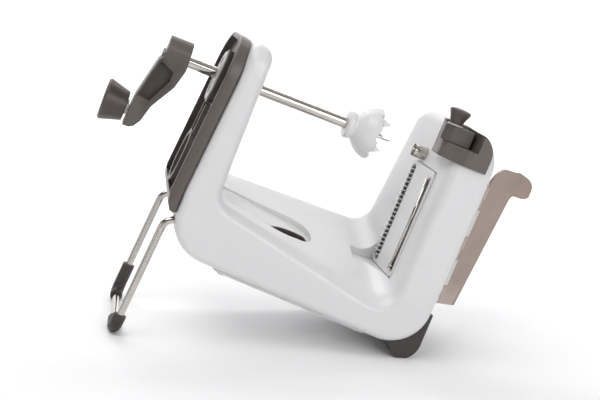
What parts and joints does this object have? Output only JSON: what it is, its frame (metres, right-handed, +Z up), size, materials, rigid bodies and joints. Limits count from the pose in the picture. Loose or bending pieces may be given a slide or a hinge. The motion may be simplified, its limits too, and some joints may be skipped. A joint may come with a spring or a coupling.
{
  "type": "apple peeler corer",
  "caption": "Hand-cranked peeler and corer with U-shaped housing, sliding spindle with fork, blade cassette, latch, hinged guard and folding wire stand.",
  "frame": {"origin": "middle of the footprint, on the surface it stands on", "axes": "+Z up; spindle runs along +X and dips 15 degrees towards the blades; -Y is the working side"},
  "size_m": [0.3128, 0.116, 0.2077],
  "materials": {
    "white_gloss": "glossy moulded white plastic",
    "taupe_plastic": "satin dark taupe plastic",
    "beige_plastic": "smooth light taupe plastic",
    "polished_steel": "polished steel",
    "blade_steel": "ground stainless steel",
    "fastener_steel": "plated steel",
    "black_rubber": "soft dark rubber",
    "pale_plastic": "light grey acetal plastic"
  },
  "bodies": {
    "frame": {"main_housing": "white_gloss", "crank_side_cover": "taupe_plastic", "knob_nest": "taupe_plastic", "rear_cover": "white_gloss", "base_cover": "white_gloss", "drain_insert": "taupe_plastic", "cover_bush": "pale_plastic", "tower_bush": "pale_plastic", "blade_cassette": "white_gloss", "julienne_comb": "blade_steel", "straight_blade": "blade_steel", "corer_tube": "polished_steel", "tube_collar": "pale_plastic", "rubber_foot": "black_rubber", "latch_bracket": "taupe_plastic", "flap_pin": "polished_steel", "flap_brackets": "pale_plastic", "stand_pivot_blocks": "pale_plastic", "crank_cover_screws": "fastener_steel", "rear_cover_screws": "fastener_steel", "base_cover_screws": "fastener_steel"},
    "sleeve": {"guide_sleeve": "pale_plastic"},
    "spindle": {"drive_shaft": "polished_steel", "fork_cup": "white_gloss", "fork_prongs": "blade_steel", "shaft_end_nut": "fastener_steel", "crank_arm": "taupe_plastic", "knob_axle": "polished_steel", "knob_washer": "fastener_steel", "arm_screw": "fastener_steel"},
    "knob": {"crank_knob": "taupe_plastic", "knob_cap": "pale_plastic"},
    "stand": {"stand_wire": "polished_steel", "stand_sleeve_near": "black_rubber", "stand_sleeve_far": "black_rubber"},
    "flap": {"guard_flap": "beige_plastic"},
    "latch": {"latch_lever": "taupe_plastic", "latch_knob": "taupe_plastic", "latch_ring": "pale_plastic", "latch_pivot": "polished_steel"}
  },
  "joints": [
    {"name": "spindle_turn", "type": "hinge", "parent": "frame", "child": "sleeve", "pos_m": [-0.06389, 0.00121, 0.17569], "axis": [0.9659, 0, -0.2588], "continuous": true},
    {"name": "spindle_slide", "type": "slide", "parent": "sleeve", "child": "spindle", "axis": [0.9659, 0, -0.2588], "range_m": [-0.06, 0.016]},
    {"name": "knob_turn", "type": "hinge", "parent": "spindle", "child": "knob", "pos_m": [-0.14467, 0.00121, 0.15241], "axis": [0.9659, 0, -0.2588], "continuous": true},
    {"name": "stand_fold", "type": "hinge", "parent": "frame", "child": "stand", "pos_m": [-0.08635, 0.00121, 0.08026], "axis": [0, 1, 0], "range_deg": [-76, 0]},
    {"name": "flap_swing", "type": "hinge", "parent": "frame", "child": "flap", "pos_m": [0.10266, -0.03479, 0.08344], "axis": [0.2588, 0, 0.9659], "range_deg": [-60, 38]},
    {"name": "latch_turn", "type": "hinge", "parent": "frame", "child": "latch", "pos_m": [0.08038, -0.03979, 0.15774], "axis": [0.2588, 0, 0.9659], "range_deg": [-80, 0]}
  ]
}
